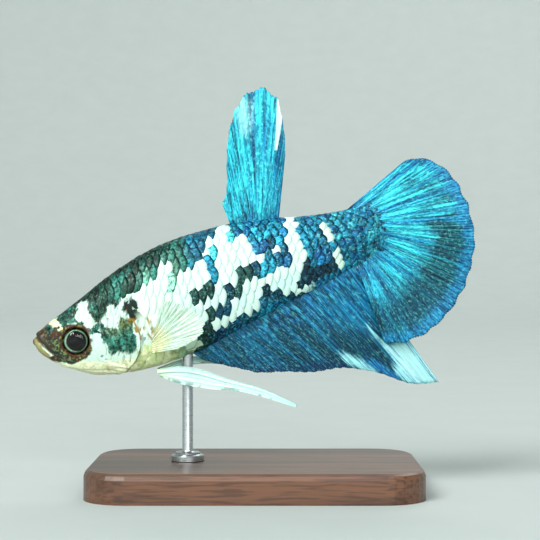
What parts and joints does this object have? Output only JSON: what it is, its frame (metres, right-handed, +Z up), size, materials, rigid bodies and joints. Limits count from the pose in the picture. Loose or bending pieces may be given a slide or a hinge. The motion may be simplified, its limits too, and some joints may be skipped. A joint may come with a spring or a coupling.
{
  "type": "betta fish",
  "caption": "Life-size still model of a short-finned male betta fish, marbled white, green and blue, held nose down on a small wooden display stand.",
  "frame": {"origin": "middle of the stand's underside, below the middle of the fish", "axes": "+X from the fish's head towards its tail, +Y to the fish's right, +Z up"},
  "size_m": [0.0618, 0.03, 0.0565],
  "materials": {
    "head_skin": "wet scaled skin, dark green on white",
    "jaw_skin": "wet bare skin, tan",
    "gill_cover_skin": "wet scaled skin, white with dark green",
    "body_scales": "wet overlapping scales, white with green and blue patches",
    "tail_stalk_scales": "wet overlapping scales, iridescent blue",
    "eye": "wet clear cornea over a near black iris",
    "dorsal_fin_web": "iridescent blue web on dark rays",
    "tail_fin_web": "iridescent turquoise web on dark rays",
    "anal_fin_web": "iridescent deep blue web on dark rays",
    "pectoral_fin_web": "thin clear web on pale rays",
    "pelvic_fin_web": "white web with dark specks",
    "stand_wood": "walnut, satin oil",
    "stand_steel": "fine brushed"
  },
  "bodies": {
    "root": {"head": "head_skin", "lower_jaw": "jaw_skin", "gill_cover_left": "gill_cover_skin", "gill_cover_right": "gill_cover_skin", "eye_left": "eye", "eye_right": "eye", "trunk": "body_scales", "tail_stalk": "tail_stalk_scales", "dorsal_fin": "dorsal_fin_web", "tail_fin": "tail_fin_web", "anal_fin": "anal_fin_web", "pectoral_fin_left": "pectoral_fin_web", "pectoral_fin_right": "pectoral_fin_web", "pelvic_fin_left": "pelvic_fin_web", "pelvic_fin_right": "pelvic_fin_web", "stand_base": "stand_wood", "stand_collar": "stand_steel", "stand_rod": "stand_steel"}
  },
  "joints": []
}
